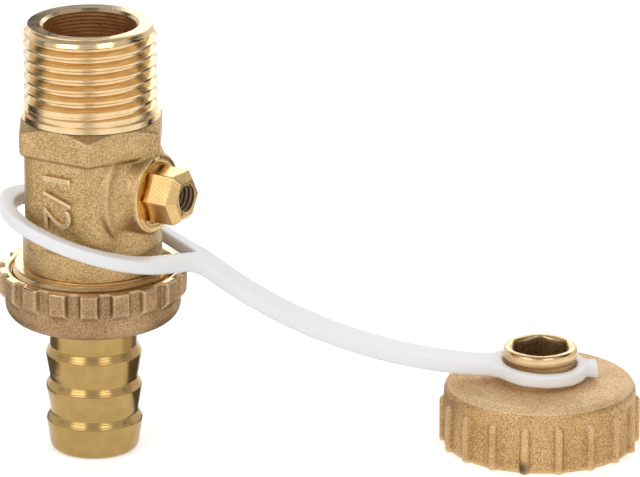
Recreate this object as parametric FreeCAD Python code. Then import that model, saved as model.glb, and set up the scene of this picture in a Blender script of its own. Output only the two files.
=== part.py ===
import FreeCAD, Part
import math
import os

# Brass drain cock: a small ball valve with a male inlet thread, a side stem, a ribbed union nut
# on a barbed hose tail, and a ribbed cap that hangs on a moulded strap.
# Millimetres. The origin is on the valve axis, at the shoulder under the inlet thread.
# +Z runs along the valve axis towards the inlet, and +X along the operating stem.

Vector = FreeCAD.Vector
X_AXIS = Vector(1, 0, 0)
Y_AXIS = Vector(0, 1, 0)
Z_AXIS = Vector(0, 0, 1)
ORIGIN = Vector(0, 0, 0)
SAME = 0.001                    # edges nearer than this to a place are at that place
UPRIGHT = 0.99                  # how far an edge points along Z to count as upright

# Fits
running_clearance = 0.05        # radial play of turning fits and end play of stacked pieces
ball_clearance = 0.05           # between the ball and its seats
ball_side_clearance = 0.15      # between the ball and the chamber's wall
screwed_in_clearance = 0.03     # seat retainer and gaskets in their bores

# Inlet spigot, whose G 1/2 male thread is drawn at the major diameter
inlet_thread_diameter = 20.955
inlet_thread_length = 14.0
inlet_lead_height = 1.4
inlet_lead_depth = 0.7
inlet_bore_step = 1.05          # the ledge between bore and ball chamber, which stops the upper seat
inlet_bore_chamfer = 0.45

# Turned collar and spanner hexagon, with a hexagon corner over the stem
collar_step = 0.4725            # the collar stands this far out past the thread
collar_height = 1.1
hex_flat_step = 0.05            # the flats lie this far outside the collar
hex_height = 4.95
hex_corner_rounding = 0.8
hex_chamfer_angle = 32.0
hex_lower_rounding = 0.7

# Ball chamber, a rounded hexagon in line with the spanner hexagon, and the round neck below it
chamber_wall = 2.0              # between the ball's bore and the flats
chamber_corner_rounding = 4.5
chamber_height = 14.8
neck_wall = 1.97
neck_height = 4.7
neck_rounding = 0.5

# Outlet spigot and nut, whose G 3/4 thread is drawn at the pitch diameter
union_thread_diameter = 25.279
union_thread_depth = 1.162
union_spigot_length = 4.6
union_lead = 0.6

# Ball, seats and the retainer that holds them
ball_radius = 8.25
ball_bore_radius = 5.0
seat_bore_step = 0.4            # a seat's bore is this much wider than the ball's
seat_height = 2.6
seat_lip = 0.7                  # a seat's thickness behind the ball, at its bore
retainer_step = 0.6             # the retainer is this much wider than the ball's bore
retainer_height = 4.5
retainer_slot_width = 2.2
retainer_slot_depth = 1.3

# Stem and its boss
stem_drop = 5.95                # from the hexagon's lower edge down to the stem's axis
boss_cover = 2.5                # from the washer to the machined face
boss_wall = 1.65
boss_land = 1.1
boss_flare_radius = 2.6
boss_edge_rounding = 0.35
stem_shoulder = 0.13            # the shaft is this much wider than the hexagon's corners
stem_projection = 5.4           # from the boss face to the stem's tip
stem_hex_across_flats = 8.0
stem_hex_recess = 0.6           # the hexagon starts this far below the boss face
stem_tip_bevel = 1.1
stem_flange_step = 0.85
stem_flange_thickness = 0.8
washer_thickness = 0.4
tongue_thickness = 3.0
tongue_width = 7.0
tongue_depth = 2.4
screw_hole_radius = 2.1
screw_hole_depth = 6.5
stem_o_ring_section = 1.0
stem_o_ring_land = 0.35
stem_o_ring_groove_width = 1.3

# Hose tail
tail_bore_radius = 4.75
tail_wall = 2.2
barb_height = 0.7
barb_pitch = 5.55
barb_count = 3
barb_back_height = 1.3
barb_crest_rounding = 0.5
tail_nose_length = 5.1          # from the lowest crest down to the foot
tail_nose_rounding = 1.2
tail_shank_length = 7.35        # from the highest crest up to the collar
tail_collar_thickness = 1.6
gasket_thickness = 1.2
gasket_bore_radius = 6.5

# Union nut
nut_height = 8.4
nut_flange_thickness = 1.5
nut_wall = 1.25
nut_rib_height = 1.0
nut_rib_count = 18
nut_rib_length = 4.5
nut_rib_width = 2.5
nut_rib_flank = 0.35            # a rib's root is this much wider on each side
nut_foot_rounding = 2.8
nut_mouth_chamfer = 0.7
nut_top_chamfer = 0.25
nut_hole_clearance = 0.15       # the nut slides on over the barbs

# Cap, standing on the same surface as the tail's foot
cap_distance = 71.0
cap_direction = 32.5            # degrees round the valve axis from the stem
cap_wall = 2.74
cap_roof = 2.4
cap_shoulder_rounding = 1.9
cap_thread_depth = 8.0
cap_thread_chamfer = 0.8
cap_relief_depth = 0.5          # the thread's run-out, which also holds the gasket
cap_relief_height = 1.7
cap_rib_count = 18
cap_rib_radius = 0.8
cap_rib_sink = 0.1              # a rib's centre line lies this far under the wall
cap_rib_length = 7.6
cap_gasket_thickness = 1.5
boss_height = 5.7
boss_rim_step = 0.45            # the rim bulges this far past the boss's neck
boss_rim_rounding = 0.7
key_wall = 0.71                 # between the socket's corners and the boss's neck
boss_neck_fillet = 0.6
key_clearance = 0.3             # across the flats, so that the cap turns the stem
key_depth = 6.0
key_mouth_chamfer = 0.5

# Retaining strap
strap_thickness = 2.1
strap_clearance = 0.4           # over the nut and round the cap's boss
loop_clearance = 1.1            # round the body's neck
loop_band_width = 2.6
loop_tilt = 17.0                # degrees, falling towards the cap
loop_point = 4.1                # the loop's inside is drawn out this far towards the cap
loop_bend_radius = 9.0
strip_start_width = 8.6
strip_end_width = 5.2
strip_joint_fillet = 6.0
ring_band_width = 1.6
ring_tilt = 3.0
ring_height = 1.0               # from the cap's top up to the ring's underside, on the boss's axis
ring_joint_fillet = 3.0
nub_length = 1.6
nub_width = 3.6


def corner_radius(across_flats):
    """Distance from a hexagon's centre to its corners."""
    return across_flats / 2 / math.cos(math.radians(30))


# Radii of the valve, each from what it fits or surrounds
inlet_thread_radius = inlet_thread_diameter / 2
collar_radius = inlet_thread_radius + collar_step
hex_across_flats = 2 * (collar_radius + hex_flat_step)
chamber_bore_radius = ball_radius + ball_side_clearance
inlet_bore_radius = chamber_bore_radius - inlet_bore_step
chamber_across_flats = 2 * (chamber_bore_radius + chamber_wall)
retainer_radius = chamber_bore_radius + retainer_step
retainer_bore_radius = retainer_radius + screwed_in_clearance
neck_radius = retainer_bore_radius + neck_wall
seat_bore_radius = ball_bore_radius + seat_bore_step
seat_hollow_radius = ball_radius + ball_clearance
seat_reach = math.sqrt(seat_hollow_radius ** 2 - seat_bore_radius ** 2) + seat_lip

# Radii and stations of the stem, from the valve axis outwards
stem_shaft_radius = corner_radius(stem_hex_across_flats) + stem_shoulder
stem_bore_radius = stem_shaft_radius + running_clearance
stem_flange_radius = stem_shaft_radius + stem_flange_step
stem_recess_radius = stem_flange_radius + running_clearance
boss_face_radius = stem_bore_radius + boss_wall
flange_start = chamber_bore_radius + running_clearance
flange_end = flange_start + stem_flange_thickness
washer_start = flange_end + running_clearance
recess_end = washer_start + washer_thickness
groove_start = recess_end + stem_o_ring_land
boss_face = recess_end + boss_cover
shaft_end = boss_face - stem_hex_recess
stem_reach = boss_face + stem_projection

# Radii of the tail, the nut, the cap and the strap
tail_root_radius = tail_bore_radius + tail_wall
barb_crest_radius = tail_root_radius + barb_height
union_thread_radius = union_thread_diameter / 2
tail_collar_radius = union_thread_radius - nut_mouth_chamfer
nut_bore_radius = union_thread_radius + running_clearance
nut_hole_radius = barb_crest_radius + nut_hole_clearance
nut_skirt_radius = nut_bore_radius + nut_wall
nut_rib_radius = nut_skirt_radius + nut_rib_height
cap_thread_radius = union_thread_radius - union_thread_depth / 2
cap_relief_radius = cap_thread_radius + cap_relief_depth
cap_radius = cap_relief_radius + cap_wall
key_across_flats = stem_hex_across_flats + key_clearance
boss_neck_radius = corner_radius(key_across_flats) + key_wall
boss_rim_radius = boss_neck_radius + boss_rim_step
loop_inner_radius = neck_radius + loop_clearance
loop_apex = loop_inner_radius + loop_point
ring_inner_radius = boss_neck_radius + strap_clearance

# Heights on the valve axis, from the shoulder down
hex_top = -collar_height
hex_bottom = hex_top - hex_height
chamber_bottom = hex_bottom - chamber_height
neck_bottom = chamber_bottom - neck_height
spigot_end = neck_bottom - union_spigot_length
stem_height = hex_bottom - stem_drop
tail_top = spigot_end - gasket_thickness
tail_collar_bottom = tail_top - tail_collar_thickness
top_barb = tail_collar_bottom - tail_shank_length
foot = top_barb - (barb_count - 1) * barb_pitch - tail_nose_length
nut_seat = tail_collar_bottom - running_clearance
nut_bottom = nut_seat - nut_flange_thickness
nut_top = nut_bottom + nut_height

# Heights on the cap's axis, from the foot up
cap_ceiling = foot + cap_thread_depth
cap_top = cap_ceiling + cap_roof
relief_bottom = cap_ceiling - cap_relief_height
boss_top = cap_top + boss_height
ring_slope = math.radians(ring_tilt)
ring_rise = boss_rim_radius * math.tan(ring_slope)
rim_bottom = cap_top + ring_height + strap_thickness / math.cos(ring_slope) + ring_rise + strap_clearance


def revolve(profile, base=ORIGIN, axis=Z_AXIS, radial=X_AXIS):
    """Turn a closed profile of (radius, height) points round an axis."""
    points = [base + radial * r + axis * h for r, h in profile]
    face = Part.Face(Part.makePolygon(points + points[:1]))
    return face.revolve(base, axis, 360)


def ring_edges(shape, places, axis=Z_AXIS, base=ORIGIN):
    """Find the circular edges at the given (radius, height) places round an axis."""
    found = []
    for edge in shape.Edges:
        curve = edge.Curve
        if not isinstance(curve, Part.Circle):
            continue
        offset = curve.Center - base
        height = offset.dot(axis)
        if (offset - axis * height).Length > SAME:
            continue
        for radius, level in places:
            if abs(curve.Radius - radius) < SAME and abs(height - level) < SAME:
                found.append(edge)
    return found


def hexagon_prism(across_flats, bottom, height, rounding):
    """A hexagonal prism round the valve axis, corner towards +X, with rounded upright edges."""
    reach = corner_radius(across_flats)
    turns = [math.radians(60 * i) for i in range(7)]
    points = [Vector(reach * math.cos(a), reach * math.sin(a), bottom) for a in turns]
    prism = Part.Face(Part.makePolygon(points)).extrude(Z_AXIS * height)
    upright = [e for e in prism.Edges if abs(e.tangentAt(e.FirstParameter).z) > UPRIGHT]
    return prism.makeFillet(rounding, upright)


def stem_hexagon(across_flats, x):
    """A hexagon across the stem's axis, with flats above and below."""
    reach = corner_radius(across_flats)
    turns = [math.radians(60 * i) for i in range(7)]
    return Part.makePolygon([
        Vector(x, reach * math.cos(a), stem_height + reach * math.sin(a)) for a in turns
    ])


def spanner_hexagon():
    """The body's hexagon, chamfered above to the collar and rounded below."""
    prism = hexagon_prism(hex_across_flats, hex_bottom, hex_height, hex_corner_rounding)
    reach = corner_radius(hex_across_flats)
    chamfer = (reach - collar_radius) * math.tan(math.radians(hex_chamfer_angle))
    envelope = revolve([
        (0, hex_bottom),
        (reach, hex_bottom),
        (reach, hex_top - chamfer),
        (collar_radius, hex_top),
        (0, hex_top),
    ])
    lower = [e for e in prism.Edges if max(v.Z for v in e.Vertexes) < hex_bottom + SAME]
    return prism.makeFillet(hex_lower_rounding, lower).common(envelope)


def stem_boss():
    """The boss that carries the stem, flared where it grows out of the chamber."""
    base = Vector(0, 0, stem_height)
    land_start = boss_face - boss_land
    root = boss_face_radius + boss_flare_radius
    flare_start = land_start - boss_flare_radius
    bow = boss_flare_radius * (1 - math.sqrt(0.5))

    def at(x, r):
        return Vector(x, 0, stem_height + r)

    flare = Part.Arc(
        at(land_start, boss_face_radius),
        at(flare_start + bow, boss_face_radius + bow),
        at(flare_start, root),
    ).toShape()
    outline = Part.Wire([
        Part.makeLine(at(0, 0), at(boss_face, 0)),
        Part.makeLine(at(boss_face, 0), at(boss_face, boss_face_radius)),
        Part.makeLine(at(boss_face, boss_face_radius), at(land_start, boss_face_radius)),
        flare,
        Part.makeLine(at(flare_start, root), at(0, root)),
        Part.makeLine(at(0, root), at(0, 0)),
    ])
    boss = Part.Face(outline).revolve(base, X_AXIS, 360)
    rim = ring_edges(boss, [(boss_face_radius, boss_face)], X_AXIS, base)
    return boss.makeFillet(boss_edge_rounding, rim)


def valve_body():
    """The forged body, bored for the ball from the outlet and for the stem from inside."""
    spigot = revolve([
        (0, spigot_end),
        (union_thread_radius - union_lead, spigot_end),
        (union_thread_radius, spigot_end + union_lead),
        (union_thread_radius, neck_bottom),
        (0, neck_bottom),
    ])
    neck = Part.makeCylinder(neck_radius, neck_height, Vector(0, 0, neck_bottom))
    neck = neck.makeFillet(neck_rounding, ring_edges(neck, [(neck_radius, chamber_bottom)]))
    chamber = hexagon_prism(chamber_across_flats, chamber_bottom - neck_rounding,
                            chamber_height + neck_rounding, chamber_corner_rounding)
    collar = Part.makeCylinder(collar_radius, collar_height, Vector(0, 0, hex_top))
    inlet = revolve([
        (0, 0),
        (inlet_thread_radius, 0),
        (inlet_thread_radius, inlet_thread_length - inlet_lead_height),
        (inlet_thread_radius - inlet_lead_depth, inlet_thread_length),
        (0, inlet_thread_length),
    ])
    forging = chamber
    for piece in (neck, spigot, spanner_hexagon(), collar, stem_boss(), inlet):
        forging = forging.fuse(piece)
    forging = forging.removeSplitter()

    flow_way = revolve([
        (0, spigot_end),
        (retainer_bore_radius, spigot_end),
        (retainer_bore_radius, stem_height - seat_reach),
        (chamber_bore_radius, stem_height - seat_reach),
        (chamber_bore_radius, stem_height + seat_reach),
        (inlet_bore_radius, stem_height + seat_reach),
        (inlet_bore_radius, inlet_thread_length - inlet_bore_chamfer),
        (inlet_bore_radius + inlet_bore_chamfer, inlet_thread_length),
        (0, inlet_thread_length),
    ])
    axle = Vector(0, 0, stem_height)
    stem_bore = Part.makeCylinder(stem_bore_radius, boss_face, axle, X_AXIS)
    recess = Part.makeCylinder(stem_recess_radius, recess_end, axle, X_AXIS)
    return forging.cut(flow_way.multiFuse([stem_bore, recess]))


def ball():
    """The bored ball, open at rest, slotted across its bore for the stem's tongue."""
    centre = Vector(0, 0, stem_height)
    bore = Part.makeCylinder(ball_bore_radius, 2 * ball_radius, centre - Z_AXIS * ball_radius)
    slot_floor = flange_start - tongue_depth - running_clearance
    slot_width = tongue_thickness + 2 * running_clearance
    slot = Part.makeBox(ball_radius, 2 * ball_radius, slot_width,
                        Vector(slot_floor, -ball_radius, stem_height - slot_width / 2))
    return Part.makeSphere(ball_radius, centre).cut(bore.fuse(slot))


def seat_ring(side):
    """A seat above (side 1) or below (side -1) the ball, hollowed to the ball's curve."""
    outer = stem_height + side * seat_reach
    inner = outer - side * seat_height
    ring = revolve([
        (seat_bore_radius, inner),
        (chamber_bore_radius - screwed_in_clearance, inner),
        (chamber_bore_radius - screwed_in_clearance, outer),
        (seat_bore_radius, outer),
    ])
    return ring.cut(Part.makeSphere(seat_hollow_radius, Vector(0, 0, stem_height)))


def seat_retainer():
    """The ring screwed in under the lower seat, slotted across for a driver."""
    top = stem_height - seat_reach
    bottom = top - retainer_height
    ring = revolve([
        (ball_bore_radius, bottom),
        (retainer_radius, bottom),
        (retainer_radius, top),
        (ball_bore_radius, top),
    ])
    slot = Part.makeBox(2 * retainer_radius, retainer_slot_width, retainer_slot_depth,
                        Vector(-retainer_radius, -retainer_slot_width / 2, bottom))
    return ring.cut(slot)


def operating_stem():
    """The stem: tongue, inner flange, grooved shaft and bevelled hexagon with a tapped hole."""
    base = Vector(0, 0, stem_height)
    groove_floor = stem_bore_radius - stem_o_ring_section - running_clearance
    groove_end = groove_start + stem_o_ring_groove_width
    turned = revolve([
        (0, flange_start),
        (stem_flange_radius, flange_start),
        (stem_flange_radius, flange_end),
        (stem_shaft_radius, flange_end),
        (stem_shaft_radius, groove_start),
        (groove_floor, groove_start),
        (groove_floor, groove_end),
        (stem_shaft_radius, groove_end),
        (stem_shaft_radius, shaft_end),
        (0, shaft_end),
    ], base, X_AXIS, Z_AXIS)
    bevel_start = stem_reach - stem_tip_bevel
    shoulder = stem_hexagon(stem_hex_across_flats, bevel_start)
    tip = stem_hexagon(stem_hex_across_flats - 2 * stem_tip_bevel, stem_reach)
    bar = Part.Face(shoulder).extrude(X_AXIS * (shaft_end - bevel_start))
    bevel = Part.makeLoft([shoulder, tip], True, True)
    tongue = Part.makeBox(tongue_depth, tongue_width, tongue_thickness,
                          Vector(flange_start - tongue_depth, -tongue_width / 2,
                                 stem_height - tongue_thickness / 2))
    hole_floor = Vector(stem_reach - screw_hole_depth, 0, stem_height)
    hole = Part.makeCylinder(screw_hole_radius, screw_hole_depth, hole_floor, X_AXIS)
    return turned.multiFuse([bar, bevel, tongue]).removeSplitter().cut(hole)


def stem_o_ring():
    """The seal in the stem's groove."""
    middle = groove_start + stem_o_ring_groove_width / 2
    mean_radius = stem_bore_radius - (stem_o_ring_section + running_clearance) / 2
    return Part.makeTorus(mean_radius, stem_o_ring_section / 2, Vector(middle, 0, stem_height), X_AXIS)


def stem_thrust_washer():
    """The flat washer between the stem's flange and the floor of its recess."""
    base = Vector(washer_start, 0, stem_height)
    disc = Part.makeCylinder(stem_flange_radius, washer_thickness, base, X_AXIS)
    return disc.cut(Part.makeCylinder(stem_bore_radius, washer_thickness, base, X_AXIS))


def hose_tail():
    """The turned tail with its barbs, gentle below each crest and steep above it."""
    outline = [(tail_bore_radius, foot), (tail_root_radius, foot)]
    crests = [top_barb - i * barb_pitch for i in reversed(range(barb_count))]
    for crest in crests:
        outline.append((barb_crest_radius, crest))
        outline.append((tail_root_radius, crest + barb_back_height))
    outline += [
        (tail_root_radius, tail_collar_bottom),
        (tail_collar_radius, tail_collar_bottom),
        (tail_collar_radius, tail_top),
        (tail_bore_radius, tail_top),
    ]
    tail = revolve(outline)
    tail = tail.makeFillet(barb_crest_rounding, ring_edges(tail, [(barb_crest_radius, c) for c in crests]))
    return tail.makeFillet(tail_nose_rounding, ring_edges(tail, [(tail_root_radius, foot)]))


def tail_gasket():
    """The flat seal between the outlet spigot and the tail's collar."""
    return revolve([
        (gasket_bore_radius, tail_top),
        (tail_collar_radius, tail_top),
        (tail_collar_radius, spigot_end),
        (gasket_bore_radius, spigot_end),
    ])


def union_nut():
    """The nut: a round skirt, ribs down its upper half and a flange under the tail's collar."""
    rib_bottom = nut_top - nut_rib_length
    rib_proud = nut_rib_radius - nut_skirt_radius
    core = revolve([
        (0, nut_bottom),
        (nut_skirt_radius, nut_bottom),
        (nut_skirt_radius, nut_top),
        (0, nut_top),
    ])
    core = core.makeFillet(nut_foot_rounding, ring_edges(core, [(nut_skirt_radius, nut_bottom)]))
    half_tip = nut_rib_width / 2
    half_root = half_tip + nut_rib_flank
    plan = [
        (nut_bore_radius, -half_root),
        (nut_skirt_radius, -half_root),
        (nut_rib_radius, -half_tip),
        (nut_rib_radius, half_tip),
        (nut_skirt_radius, half_root),
        (nut_bore_radius, half_root),
    ]
    points = [Vector(x, y, rib_bottom) for x, y in plan]
    rib = Part.Face(Part.makePolygon(points + points[:1])).extrude(Z_AXIS * nut_rib_length)
    ribs = []
    for i in range(nut_rib_count):
        copy = rib.copy()
        copy.rotate(ORIGIN, Z_AXIS, 360 * i / nut_rib_count)
        ribs.append(copy)
    envelope = revolve([
        (0, nut_bottom),
        (nut_skirt_radius, nut_bottom),
        (nut_skirt_radius, rib_bottom),
        (nut_rib_radius, rib_bottom + rib_proud),
        (nut_rib_radius, nut_top - nut_top_chamfer),
        (nut_rib_radius - nut_top_chamfer, nut_top),
        (0, nut_top),
    ])
    inside = revolve([
        (0, nut_bottom),
        (nut_hole_radius, nut_bottom),
        (nut_hole_radius, nut_seat),
        (nut_bore_radius, nut_seat),
        (nut_bore_radius, nut_top - nut_mouth_chamfer),
        (nut_bore_radius + nut_mouth_chamfer, nut_top),
        (0, nut_top),
    ])
    return core.multiFuse(ribs).removeSplitter().common(envelope).cut(inside)


def place_cap(shape):
    """Move a shape from the valve axis to the cap's place beside the valve."""
    turn = math.radians(cap_direction)
    shape.translate(Vector(cap_distance * math.cos(turn), cap_distance * math.sin(turn), 0))
    return shape


def cap():
    """The cap: rounded shoulder, half-round ribs, thread inside and a boss with a hexagon socket."""
    shell = revolve([
        (0, foot),
        (cap_radius, foot),
        (cap_radius, cap_top),
        (boss_neck_radius, cap_top),
        (boss_neck_radius, rim_bottom),
        (boss_rim_radius, rim_bottom),
        (boss_rim_radius, boss_top),
        (0, boss_top),
    ])
    shell = shell.makeFillet(cap_shoulder_rounding, ring_edges(shell, [(cap_radius, cap_top)]))
    shell = shell.makeFillet(boss_rim_rounding, ring_edges(shell, [(boss_rim_radius, boss_top)]))
    shell = shell.makeFillet(boss_neck_fillet, ring_edges(shell, [(boss_neck_radius, cap_top)]))
    ribs = []
    for i in range(cap_rib_count):
        turn = math.radians(360 * (i + 0.5) / cap_rib_count)
        reach = cap_radius - cap_rib_sink
        base = Vector(reach * math.cos(turn), reach * math.sin(turn), foot)
        stalk = Part.makeCylinder(cap_rib_radius, cap_rib_length - cap_rib_radius, base)
        end = Part.makeSphere(cap_rib_radius, base + Z_AXIS * (cap_rib_length - cap_rib_radius))
        ribs.append(stalk.fuse(end))
    thread = revolve([
        (0, foot),
        (cap_thread_radius + cap_thread_chamfer, foot),
        (cap_thread_radius, foot + cap_thread_chamfer),
        (cap_thread_radius, relief_bottom),
        (cap_relief_radius, relief_bottom),
        (cap_relief_radius, cap_ceiling),
        (0, cap_ceiling),
    ])
    reach = corner_radius(key_across_flats)
    turns = [math.radians(60 * i) for i in range(7)]
    points = [Vector(reach * math.cos(a), reach * math.sin(a), boss_top - key_depth) for a in turns]
    socket = Part.Face(Part.makePolygon(points)).extrude(Z_AXIS * key_depth)
    mouth = revolve([
        (0, boss_top - key_mouth_chamfer),
        (reach - key_mouth_chamfer, boss_top - key_mouth_chamfer),
        (reach, boss_top),
        (0, boss_top),
    ])
    return place_cap(shell.multiFuse(ribs).removeSplitter().cut(thread.multiFuse([socket, mouth])))


def cap_gasket():
    """The flat seal against the cap's ceiling."""
    bottom = cap_ceiling - cap_gasket_thickness
    return place_cap(revolve([
        (gasket_bore_radius, bottom),
        (cap_relief_radius - screwed_in_clearance, bottom),
        (cap_relief_radius - screwed_in_clearance, cap_ceiling),
        (gasket_bore_radius, cap_ceiling),
    ]))


def steepest_angle(start, end, tilt_start, tilt_end):
    """The slope between two tangent arcs, one bending down and one levelling out, that join two points."""
    low, high = max(tilt_start, tilt_end), math.radians(85)
    for _ in range(60):
        steep = (low + high) / 2
        x = start[0] + loop_bend_radius * (math.sin(steep) - math.sin(tilt_start))
        z = start[1] - loop_bend_radius * (math.cos(tilt_start) - math.cos(steep))
        level_radius = (end[0] - x) / (math.sin(steep) - math.sin(tilt_end))
        z -= level_radius * (math.cos(tilt_end) - math.cos(steep))
        if z > end[1]:
            low = steep
        else:
            high = steep
    return steep


def strap_slab():
    """The strap's bent thickness: its side view, drawn in the XZ plane and extruded across."""
    half = strap_thickness / 2
    tilt = math.radians(loop_tilt)
    loop_reach = loop_inner_radius + loop_band_width

    def normal(angle):
        return (math.sin(angle), math.cos(angle))

    def shift(point, angle, distance):
        n = normal(angle)
        return (point[0] + n[0] * distance, point[1] + n[1] * distance)

    rim = (nut_rib_radius, nut_top + strap_clearance)
    bend_start = shift(rim, tilt, half)
    back = (-loop_reach, bend_start[1] + (bend_start[0] + loop_reach) * math.tan(tilt))
    ring_centre = (cap_distance, cap_top + ring_height + half / math.cos(ring_slope))
    ring_reach = ring_inner_radius + ring_band_width
    ring_start = (cap_distance - ring_reach, ring_centre[1] + ring_reach * math.tan(ring_slope))
    nub_reach = ring_reach + nub_length
    nub_end = (cap_distance + nub_reach, ring_centre[1] - nub_reach * math.tan(ring_slope))

    steep = steepest_angle(bend_start, ring_start, tilt, ring_slope)
    bend_centre = shift(bend_start, tilt, -loop_bend_radius)
    bend_end = shift(bend_centre, steep, loop_bend_radius)
    level_radius = (ring_start[0] - bend_end[0]) / (math.sin(steep) - math.sin(ring_slope))
    level_centre = shift(bend_end, steep, level_radius)

    def side(offset):
        """The path's points, moved off it by an offset."""
        return [
            shift(back, tilt, offset),
            shift(bend_start, tilt, offset),
            shift(bend_centre, (tilt + steep) / 2, loop_bend_radius + offset),
            shift(bend_end, steep, offset),
            shift(level_centre, (steep + ring_slope) / 2, offset - level_radius),
            shift(ring_start, ring_slope, offset),
            shift(nub_end, ring_slope, offset),
        ]

    def edges(points):
        a, b, c, d, e, f, g = [Vector(x, 0, z) for x, z in points]
        return [
            Part.makeLine(a, b),
            Part.Arc(b, c, d).toShape(),
            Part.Arc(d, e, f).toShape(),
            Part.makeLine(f, g),
        ]

    upper, lower = side(half), side(-half)
    close_back = Part.makeLine(Vector(lower[0][0], 0, lower[0][1]), Vector(upper[0][0], 0, upper[0][1]))
    close_end = Part.makeLine(Vector(upper[-1][0], 0, upper[-1][1]), Vector(lower[-1][0], 0, lower[-1][1]))
    outline = Part.Wire(Part.__sortEdges__(edges(upper) + edges(lower) + [close_back, close_end]))
    width = 2 * loop_reach
    slab = Part.Face(outline).extrude(Y_AXIS * width)
    slab.translate(Y_AXIS * (-width / 2))
    return slab


def kite(radius, apex):
    """The plan of a disc drawn out to a point along +X, as a solid taller than the strap."""
    bottom, height = foot, -foot
    angle = math.acos(radius / apex)
    corners = [(0, 0), (radius * math.cos(angle), radius * math.sin(angle)), (apex, 0),
               (radius * math.cos(angle), -radius * math.sin(angle)), (0, 0)]
    point = Part.Face(Part.makePolygon([Vector(x, y, bottom) for x, y in corners]))
    disc = Part.makeCylinder(radius, height, Vector(0, 0, bottom))
    return disc.fuse(point.extrude(Z_AXIS * height)).removeSplitter()


def upright_edges(shape, low_x, high_x):
    """The straight upright edges of a plan solid between two distances along the strap."""
    found = []
    for edge in shape.Edges:
        middle = edge.CenterOfMass
        straight = isinstance(edge.Curve, Part.Line)
        if straight and abs(edge.tangentAt(edge.FirstParameter).z) > UPRIGHT and low_x < middle.x < high_x:
            found.append(edge)
    return found


def retaining_strap():
    """The moulded strap: the plan of loop, strip, ring and nub, given the strap's bent thickness."""
    bottom, height = foot, -foot
    loop_reach = loop_inner_radius + loop_band_width
    half_angle = math.asin(loop_inner_radius / loop_apex)
    outer_apex = loop_apex + loop_band_width / math.sin(half_angle)
    ring_reach = ring_inner_radius + ring_band_width

    plan = [(0, -strip_start_width / 2), (cap_distance, -strip_end_width / 2),
            (cap_distance, strip_end_width / 2), (0, strip_start_width / 2)]
    points = [Vector(x, y, bottom) for x, y in plan]
    strip = Part.Face(Part.makePolygon(points + points[:1])).extrude(Z_AXIS * height)
    joined = kite(loop_reach, outer_apex).fuse(strip).removeSplitter()
    shoulder = upright_edges(joined, loop_inner_radius, outer_apex)
    joined = joined.makeFillet(strip_joint_fillet, shoulder)

    centre = Vector(cap_distance, 0, bottom)
    ring = Part.makeCylinder(ring_reach, height, centre)
    nub_reach = ring_reach + nub_length
    nub = Part.makeBox(nub_reach, nub_width, height, centre - Y_AXIS * (nub_width / 2))
    joined = joined.multiFuse([ring, nub]).removeSplitter()
    root = upright_edges(joined, cap_distance - ring_reach, cap_distance)
    joined = joined.makeFillet(ring_joint_fillet, root)

    hole = Part.makeCylinder(ring_inner_radius, height, centre)
    plan_solid = joined.cut(kite(loop_inner_radius, loop_apex).fuse(hole))
    strap = plan_solid.common(strap_slab()).removeSplitter()
    strap.rotate(ORIGIN, Z_AXIS, cap_direction)
    return strap


pieces = {
    "valve_body": valve_body(),
    "ball": ball(),
    "upper_seat_ring": seat_ring(1),
    "lower_seat_ring": seat_ring(-1),
    "seat_retainer": seat_retainer(),
    "operating_stem": operating_stem(),
    "stem_o_ring": stem_o_ring(),
    "stem_thrust_washer": stem_thrust_washer(),
    "hose_tail": hose_tail(),
    "tail_gasket": tail_gasket(),
    "union_nut": union_nut(),
    "cap": cap(),
    "cap_gasket": cap_gasket(),
    "retaining_strap": retaining_strap(),
}

os.makedirs("parts", exist_ok=True)
for node, shape in pieces.items():
    shape.exportStep("parts/" + node + ".step")
    print(node, len(shape.Solids), shape.isValid(), round(shape.Volume, 1))
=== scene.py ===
"""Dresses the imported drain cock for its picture: threads, cast skins, finishes, studio and camera."""
import logging
import math
from collections.abc import Callable
from dataclasses import dataclass, field
from enum import Enum

import bpy
from mathutils import Matrix, Vector


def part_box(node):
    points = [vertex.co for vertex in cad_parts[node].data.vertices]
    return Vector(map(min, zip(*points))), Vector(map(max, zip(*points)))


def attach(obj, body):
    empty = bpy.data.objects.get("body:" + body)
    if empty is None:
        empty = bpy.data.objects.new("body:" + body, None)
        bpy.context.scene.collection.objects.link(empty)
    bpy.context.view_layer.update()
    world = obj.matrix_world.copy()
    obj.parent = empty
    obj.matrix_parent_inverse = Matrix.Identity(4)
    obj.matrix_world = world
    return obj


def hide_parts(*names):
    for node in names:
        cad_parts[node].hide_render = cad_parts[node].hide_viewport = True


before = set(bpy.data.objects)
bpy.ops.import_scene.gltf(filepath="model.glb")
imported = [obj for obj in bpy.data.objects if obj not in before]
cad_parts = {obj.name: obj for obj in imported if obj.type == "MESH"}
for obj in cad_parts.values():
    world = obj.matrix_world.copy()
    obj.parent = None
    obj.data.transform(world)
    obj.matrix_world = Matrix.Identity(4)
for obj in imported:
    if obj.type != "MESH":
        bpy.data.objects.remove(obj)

LOG = logging.getLogger("drain_cock")
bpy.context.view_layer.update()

MM = 0.001
# A level cut takes away one block, which is wider than the object.
BLOCK = 200 * MM
# Points closer than WELD_GAP become one, and points within SAME_PLACE count as equal.
WELD_GAP = 0.002 * MM
SAME_PLACE = 0.001 * MM
# An edge is shaded as sharp from SHARP_DEGREES and can be rounded from ROUND_DEGREES.
SHARP_DEGREES = 28.0
ROUND_DEGREES = 20.0
ROUND_SEGMENTS = 3
# Each round evens a cast skin out by SKIN_FACTOR. Then SKIN_SHARE of its faces stays.
SKIN_FACTOR = 0.5
SKIN_SHARE = 0.45
# Rays round each point that find the inner corners for painted shade and the outer edges for painted
# highlight.
SHELTER_RAYS = 8
# Length of one wave of the wave texture at a scale of 1.
WAVE_LENGTH = 0.314
# Range that holds most values of a noise texture.
NOISE_LOW = 0.3
NOISE_HIGH = 0.7
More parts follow.
